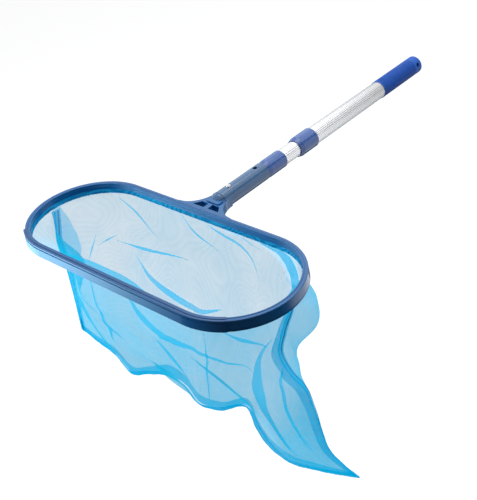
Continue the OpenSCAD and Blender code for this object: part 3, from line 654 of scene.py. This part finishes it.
def nearLine(place, knots, count):
    # the nearest of count steps of a line, the way there from it, and the line's own way there
    share = np.linspace(0, 1, count)
    line = along(np.array([(*np.array(p) * clothSpan, 0) for p in knots]), share)[:, :2]
    way = np.gradient(line, axis=0)
    way /= np.linalg.norm(way, axis=1, keepdims=True)
    away = place[..., None, :] - line
    nearest = np.argmin((away**2).sum(-1), axis=-1)
    offset = np.take_along_axis(away, nearest[..., None, None], axis=-2)[..., 0, :]
    return share, nearest, offset, way[nearest]


# in metres, but for the steps, and for the cover that stands in widths of the fold
foldSet = dict(steps=41, hold=0.006, ends=0.02, reach=0.05, lift=0.0006, rise=0.012, thinnest=0.002,
               full=0.004, cover=(1.35, 1.6))


def foldMap(w, t, folds):
    # each fold lays the cloth over itself along a line: the cloth beside it moves in, its middle runs back
    s = foldSet
    place = np.stack([w, t], -1) * clothSpan
    edge = np.minimum(place, clothSpan - place)
    free = smooth(edge, 0, s["hold"])  # the cloth stays on its seams, foot and mouth
    lift, mask = np.zeros(w.shape), np.zeros(w.shape)
    for f in folds:
        share, nearest, offset, way = nearLine(place, f["line"], s["steps"])
        width = np.interp(share, np.linspace(0, 1, len(f["width"])), f["width"])
        n = np.stack([-way[..., 1], way[..., 0]], -1)
        d = (offset * n).sum(-1)
        past = np.abs((offset * way).sum(-1))
        b = width[nearest] * (1 - smooth(past, 0.0, s["ends"]))
        half = np.maximum(b / 2, 1e-6)
        turn = np.clip(d / half, -1, 1)
        fade = 1 - smooth(np.abs(d) - half, 0, f.get("reach", s["reach"]))
        inner, outer = s["cover"]
        over = (1 - smooth(np.abs(d), inner * b, outer * b + 1e-6)) * np.clip(b / s["thinnest"], 0, 1)
        mask = np.maximum(mask, over)
        place = place - n * (b * turn * fade)[..., None] * free
        rise = 1 - smooth(np.abs(d) - half, 0, s["rise"])
        lift += s["lift"] * turn * np.clip(b / s["full"], 0, 1) * rise
    return place[..., 0] / clothSpan[0], place[..., 1] / clothSpan[1], lift, mask


ridgeSet = dict(steps=61, swell=([0, 0.25, 0.75, 1], [0, 1, 1, 0]))


def ridges(w, t, lines):
    # creases that stand up from the cloth, steep on one side and falling slowly on the other
    place = np.stack([w, t], -1) * clothSpan
    rise = np.zeros(w.shape)
    for f in lines:
        share, nearest, offset, way = nearLine(place, f["line"], ridgeSet["steps"])
        size = np.interp(share, *ridgeSet["swell"]) * f["height"]
        side = offset[..., 1] * way[..., 0] - offset[..., 0] * way[..., 1]
        wide = np.where(side < 0, *f["width"])
        rise += size[nearest] * np.exp(-(offset**2).sum(-1) / wide**2)
    return rise


def ripple(w, t, seed, waves, low, high):
    # gentle uneven swell of the cloth: waves of different length and way
    r = np.random.default_rng(seed)
    x, y = w * clothSpan[0], t * clothSpan[1]
    out = np.zeros(w.shape)
    for _ in range(waves):
        length, way, shift = r.uniform(low, high), r.uniform(0, math.pi), r.uniform(0, 2 * math.pi)
        turn = 2 * math.pi / length * (x * math.cos(way) + y * math.sin(way)) + shift
        out += np.sin(turn) * length / high
    return out / math.sqrt(waves)


# lines run through places (w, t) in the flat cloth; a fold's widths stand along its line, and a ridge's
# two widths are those of its steep and its slow side
sheetSet = {
    -1: dict(
        name="frontSheet", columns=480, rows=220, seed=4, ripple=0.0016, thin=0.06,
        tucked=((0.1, 0.2), (0.5, 0.75), (0.05, 0.2)),
        folds=[
            dict(line=[(0.333, 0.135), (0.358, 0.24), (0.348, 0.4), (0.32, 0.5), (0.275, 0.68),
                       (0.255, 0.8)],
                 width=[0.002, 0.007, 0.009, 0.008, 0.005, 0.001]),
            dict(line=[(0.325, 0.45), (0.345, 0.55), (0.365, 0.625)], width=[0.006, 0.014, 0.001]),
            dict(line=[(0.965, 0.2), (0.943, 0.265), (0.912, 0.34), (0.875, 0.425), (0.843, 0.545),
                       (0.843, 0.7), (0.86, 0.84), (0.863, 0.93)],
                 width=[0.003, 0.009, 0.014, 0.018, 0.02, 0.017, 0.012, 0.003], reach=0.07),
            dict(line=[(0.985, 0.365), (0.953, 0.43), (0.925, 0.56), (0.932, 0.72), (0.955, 0.88)],
                 width=[0.003, 0.007, 0.008, 0.006, 0.002]),
            dict(line=[(0.825, 0.03), (0.87, 0.11), (0.95, 0.2)], width=[0.003, 0.008, 0.003])],
        ridges=[
            dict(line=[(0.98, 0.06), (0.985, 0.17), (0.975, 0.275)], height=0.003, width=(0.002, 0.006)),
            dict(line=[(0.12, 0.1), (0.2, 0.2), (0.3, 0.32), (0.36, 0.5)], height=-0.003,
                 width=(0.004, 0.02))]),
    1: dict(
        name="backSheet", columns=480, rows=220, seed=9, ripple=0.001, thin=0.0,
        # how wide the seam's spare cloth is down the left seam, and how far inside it lies
        spare=([0, 0.09, 0.2, 0.3, 0.37, 0.6], [0.02, 0.044, 0.062, 0.064, 0.055, 0.012]),
        spareLift=-0.0012, spareGrid=(60, 9),
        folds=[
            dict(line=[(0.185, 0.01), (0.225, 0.065), (0.305, 0.195)], width=[0.001, 0.0035, 0.001]),
            dict(line=[(0.417, 0.01), (0.445, 0.07), (0.525, 0.145)], width=[0.001, 0.0035, 0.001]),
            dict(line=[(0.503, 0.01), (0.557, 0.045), (0.615, 0.085), (0.655, 0.145), (0.675, 0.21)],
                 width=[0.001, 0.0035, 0.004, 0.003, 0.001]),
            dict(line=[(0.56, 0.015), (0.628, 0.02), (0.675, 0.055)], width=[0.001, 0.003, 0.001]),
            dict(line=[(0.11, 0.225), (0.08, 0.38)], width=[0.001, 0.003, 0.001]),
            dict(line=[(0.122, 0.275), (0.17, 0.22)], width=[0.001, 0.003, 0.001]),
            dict(line=[(0.185, 0.255), (0.263, 0.295), (0.335, 0.31), (0.408, 0.295)],
                 width=[0.001, 0.005, 0.004, 0.001]),
            dict(line=[(0.228, 0.335), (0.29, 0.475), (0.362, 0.55), (0.413, 0.56), (0.5, 0.505)],
                 width=[0.001, 0.005, 0.008, 0.009, 0.004]),
            dict(line=[(0.18, 0.54), (0.228, 0.67), (0.305, 0.78), (0.388, 0.8), (0.475, 0.755),
                       (0.585, 0.785), (0.647, 0.815)],
                 width=[0.004, 0.007, 0.008, 0.006, 0.004, 0.003, 0.001]),
            dict(line=[(0.32, 0.84), (0.37, 0.91), (0.415, 0.96)], width=[0.003, 0.006, 0.001]),
            dict(line=[(0.464, 0.66), (0.48, 0.8), (0.49, 0.94)], width=[0.001, 0.004, 0.002]),
            dict(line=[(0.688, 0.012), (0.756, 0.03), (0.806, 0.075), (0.818, 0.13), (0.804, 0.2)],
                 width=[0.004, 0.012, 0.016, 0.015, 0.005])],
        ridges=[
            dict(line=[(0.228, 0.335), (0.29, 0.475), (0.362, 0.55), (0.45, 0.55)], height=-0.006,
                 width=(0.003, 0.022)),
            dict(line=[(0.18, 0.555), (0.228, 0.69), (0.305, 0.81), (0.42, 0.82), (0.56, 0.79)],
                 height=-0.004, width=(0.003, 0.022))]),
}


# the lengths of the waves, and where mouth, foot and seams hold the cloth
swellSet = dict(waves=9, low=0.04, high=0.17, top=0.08, foot=0.93, seam=0.05)
gatherSet = dict(less=0.2, across=(0.72, 0.85), down=(0.4, 0.75))


def sheetPoint(w, t, side, lift=0.0):
    # a point of the finished cloth from its place in the flat cloth, and whether it lies in a fold
    s, f = sheetSet[side], swellSet
    w2, t2, up, mask = foldMap(w, t, s["folds"])
    hold = smooth(t2, 0, f["top"]) * (1 - smooth(t2, f["foot"], 1))
    hold = hold * smooth(np.minimum(w2, 1 - w2), 0, f["seam"])
    swell = ripple(w2, t2, s["seed"], f["waves"], f["low"], f["high"]) * s["ripple"]
    out = up + lift + hold * (swell + ridges(w2, t2, s["ridges"]))
    return bagPoint(w2, t2, side) + bagNormal(w2, t2, side) * out[..., None], mask


def makeSheet(side):
    s = sheetSet[side]
    t, w = np.meshgrid(np.linspace(0, 1, s["rows"]), np.linspace(0, 1, s["columns"]), indexing="ij")
    points, fold = sheetPoint(w, t, side)
    if side < 0:
        starts, ends, below = s["tucked"]
        tucked = smooth(w, *starts) * (1 - smooth(w, *ends)) * (1 - smooth(t, *below))
        fold = np.maximum(fold, tucked)
    # the cloth is gathered close in the bag's tail
    f = gatherSet
    thin = s["thin"] - f["less"] * smooth(w, *f["across"]) * smooth(t, *f["down"])
    flat = np.stack([w, t], -1) * clothSpan
    faces = gridFaces(*w.shape)[:, ::side]  # the cloth's outer face is its front
    points, fold, thin, flat = points.reshape(-1, 3), fold.ravel(), thin.ravel(), flat.reshape(-1, 2)
    if side > 0:
        # the seam's spare cloth lies flat inside, beside the left seam
        rows, columns = s["spareGrid"]
        down, k = np.meshgrid(np.linspace(0, s["spare"][0][-1], rows), np.linspace(0, 1, columns),
                              indexing="ij")
        across = k * np.interp(down, *s["spare"])
        spare, _ = sheetPoint(across, down, side, s["spareLift"])
        spareFlat = np.stack([down * clothSpan[1], across * clothSpan[0]], -1)
        faces = np.concatenate([faces, gridFaces(*down.shape) + len(points)])
        points = np.concatenate([points, spare.reshape(-1, 3)])
        flat = np.concatenate([flat, spareFlat.reshape(-1, 2)])
        fold = np.concatenate([fold, np.ones(down.size)])
        thin = np.concatenate([thin, np.zeros(down.size)])
    ob = meshOf(s["name"], points, faces, finish["mesh"], flat, fold=fold, thin=thin)
    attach(ob, "head")
    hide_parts("net_bag")


for side in (-1, 1):
    makeSheet(side)
print("net sheets made")


# Seam tape and its stitches

tapeSet = dict(width=0.009, leftMore=1.2, lift=0.0006, inner=-0.0024, start=0.01, rows=120, footRows=300,
               columns=5, roll=0.0011, sides=8, guide=(0.02, 1.0, 0.01), rollStart=0.02, rollRows=90,
               pucker=((0.14, 0.0035), (0.08, 0.0013)))


def makeTape(s):
    # a strip of tape on each sheet along its edges, and the rolled edge itself
    points, faces, flat = [], [], []

    def add(grid, quads, u, v):
        faces.append(quads + sum(len(p) for p in points))
        points.append(grid.reshape(-1, 3))
        flat.append(np.stack([u, v], -1).reshape(-1, 2))

    def strip(w, t, side, lift, u, v):
        add(sheetPoint(w, t, side, lift)[0], gridFaces(*w.shape), u, v)

    share = np.linspace(0, 1, s["columns"])
    for side in (-1, 1):
        t, k = np.meshgrid(np.linspace(s["start"], 1, s["rows"]), share, indexing="ij")
        wide = s["width"] / clothSpan[0]
        # on the back sheet the left seam's tape lies on the inner face
        more, under = (s["leftMore"], s["inner"]) if side > 0 else (1, s["lift"])
        strip(k * wide * more, t, side, under, k * s["width"], t * clothSpan[1])
        strip(1 - k * wide, t, side, s["lift"], k * s["width"], t * clothSpan[1])
        w, k = np.meshgrid(np.linspace(0, 1, s["footRows"]), share, indexing="ij")
        strip(w, 1 - k * s["width"] / clothSpan[1], side, s["lift"], w * clothSpan[0], k * s["width"])
    rows, foot = s["rollRows"], s["footRows"] + 1
    down = np.linspace(s["rollStart"], 1, rows + 1)[:-1]
    up = np.linspace(1, s["rollStart"], rows + 1)[1:]
    route = np.concatenate([
        bagPoint(np.zeros(rows), down, -1), bagPoint(np.linspace(0, 1, foot), np.ones(foot), -1),
        bagPoint(np.ones(rows), up, -1)])
    length = np.concatenate([[0], np.cumsum(np.linalg.norm(np.diff(route, axis=0), axis=1))])
    pucker = 1 + sum(size * np.sin(length / long) for size, long in s["pucker"])
    ring, quads, turn = threadTube(route, s["roll"] * pucker, s["sides"], s["guide"])
    add(ring, quads, *np.broadcast_arrays(length[:, None], turn * s["roll"]))
    ob = meshOf("seamTape", np.concatenate(points), np.concatenate(faces), finish["tape"],
                np.concatenate(flat))
    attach(ob, "head")
    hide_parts("seam_binding")


makeTape(tapeSet)

stitchSet = dict(inset=0.0045, swing=0.0013, uneven=0.00018, pitch=0.0017, thread=0.00028, sides=5,
                 guide=(0.31, 0.87, 0.38), down=(0.012, 0.995), seed=5, lift=0.0011, inner=-0.0029,
                 leftMore=1.3)


def makeStitches(s):
    # the zigzag that holds the tape down each seam
    points, faces = [], []
    r = np.random.default_rng(s["seed"])
    count = int(clothSpan[1] / s["pitch"]) * 2
    for left in (True, False):
        t = np.linspace(*s["down"], count)
        zigzag = s["swing"] * np.where(np.arange(count) % 2, 1, -1)
        w = (s["inset"] + zigzag + r.normal(0, s["uneven"], count)) / clothSpan[0]
        route, _ = sheetPoint(w * s["leftMore"] if left else 1 - w, t, 1, s["inner" if left else "lift"])
        ring, quads, _ = threadTube(route, s["thread"], s["sides"], s["guide"])
        faces.append(quads + sum(len(p) for p in points))
        points.append(ring)
    ob = meshOf("seamStitches", np.concatenate(points), np.concatenate(faces), finish["thread"])
    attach(ob, "head")


makeStitches(stitchSet)


# Hem and its cord

rimInner = 0.084  # half the width of the rim's opening


def rimPath(out, count):
    # points round the rim at a distance out from its inner edge, their way out, and the length along
    r, c = rimInner + out, bagSet["straight"]
    legs = [2 * c, math.pi * r, 2 * c]
    d = np.linspace(0, 4 * c + 2 * math.pi * r, count, endpoint=False)
    points, ways = np.zeros((count, 2)), np.zeros((count, 2))
    for i, at in enumerate(d):
        if at < legs[0]:
            points[i], ways[i] = (-c + at, -r), (0, -1)
        elif legs[0] + legs[1] <= at < sum(legs):
            points[i], ways[i] = (c - (at - legs[0] - legs[1]), r), (0, 1)
        else:
            onRight = at < sum(legs)
            a = (at - legs[0]) / r - math.pi / 2 if onRight else (at - sum(legs)) / r + math.pi / 2
            ways[i] = (math.cos(a), math.sin(a))
            points[i] = ((c if onRight else -c) + r * ways[i, 0], r * ways[i, 1])
    return points, ways, d


def rimRing(base, ways, out, down):
    # a closed section carried round the rim: out from its path and down from the rim's top
    points = np.zeros(out.shape + (3,))
    points[..., :2] = base[:, None] + ways[:, None] * out[..., None]
    points[..., 2] = -down
    rows, cols = out.shape
    last = (rows - 1) * cols
    close = [[last + j, last + (j + 1) % cols, (j + 1) % cols, j] for j in range(cols)]
    return (points + rimAt).reshape(-1, 3), np.concatenate([gridFaces(rows, cols, wrap=True), close])


hemSet = dict(
    count=720, middle=0.0027, seed=3, waves=14, turns=(60, 260), phase=6.28, calm=3.5,
    loose=(0.0095, 0.0125), swellOut=0.06, swellDown=0.00025, shift=7,
    # distance out from the rim's inner edge and down from its top, in millimetres
    section=[(3.25, 9.3), (3.25, 7.4), (3.25, 5.5), (2.4, 5.1), (1.85, 4.2), (1.95, 3.1), (2.7, 2.25),
             (3.6, 2.0), (4.5, 2.25), (5.25, 3.1), (5.35, 4.2), (4.8, 5.1), (3.95, 5.5), (3.95, 7.4),
             (3.95, 9.3), (4.5, 9.6), (4.8, 10.4), (4.65, 12.0), (4.35, 13.0), (4.7, 14.2), (4.8, 15.5),
             (4.4, 16.6), (3.6, 17.0), (1.8, 17.0), (1.0, 16.6), (0.62, 15.6), (0.7, 14.2), (1.05, 13.0),
             (0.75, 12.0), (0.62, 10.6), (0.95, 9.6)])


def makeHem(s):
    base, ways, d = rimPath(s["middle"], s["count"])
    section = np.array(s["section"]) / 1000
    r = np.random.default_rng(s["seed"])
    swell = np.zeros(s["count"])
    for _ in range(s["waves"]):
        n = int(r.integers(*s["turns"]))
        phase = r.uniform(0, s["phase"])
        swell += np.sin(2 * math.pi * n * np.arange(s["count"]) / s["count"] + phase) / s["calm"]
    loose = smooth(section[:, 1], *s["loose"])
    out = (section[:, 0] - s["middle"])[None] * (1 + s["swellOut"] * swell[:, None] * loose)
    down = section[:, 1] + loose * s["swellDown"] * np.roll(swell, s["shift"])[:, None]
    points, faces = rimRing(base, ways, out, down)
    girth = np.concatenate([[0], np.cumsum(np.linalg.norm(np.diff(section, axis=0), axis=1))])
    flat = np.stack(np.broadcast_arrays(d[:, None], girth[None]), -1).reshape(-1, 2)
    ob = meshOf("hemBand", points, faces, finish["hem"], flat)
    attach(ob, "head")
    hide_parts("net_hem")


makeHem(hemSet)

cordSet = dict(count=900, sides=12, out=0.0036, down=0.00365, radius=0.0013, strand=0.00016, strands=3,
               lay=0.009)


def makeCord(s):
    # a three-strand cord in the hem's sleeve
    base, ways, d = rimPath(s["out"], s["count"])
    turn = np.linspace(0, 2 * math.pi, s["sides"], endpoint=False)
    twist = 2 * math.pi * round(d[-1] / s["lay"]) * np.arange(s["count"]) / s["count"]
    radius = s["radius"] + s["strand"] * np.cos(s["strands"] * (turn[None] + twist[:, None]))
    points, faces = rimRing(base, ways, radius * np.cos(turn), s["down"] - radius * np.sin(turn))
    ob = meshOf("twistedCord", points, faces, finish["cord"])
    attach(ob, "head")
    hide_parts("hem_cord")


makeCord(cordSet)
print("hem, tape and cord made")
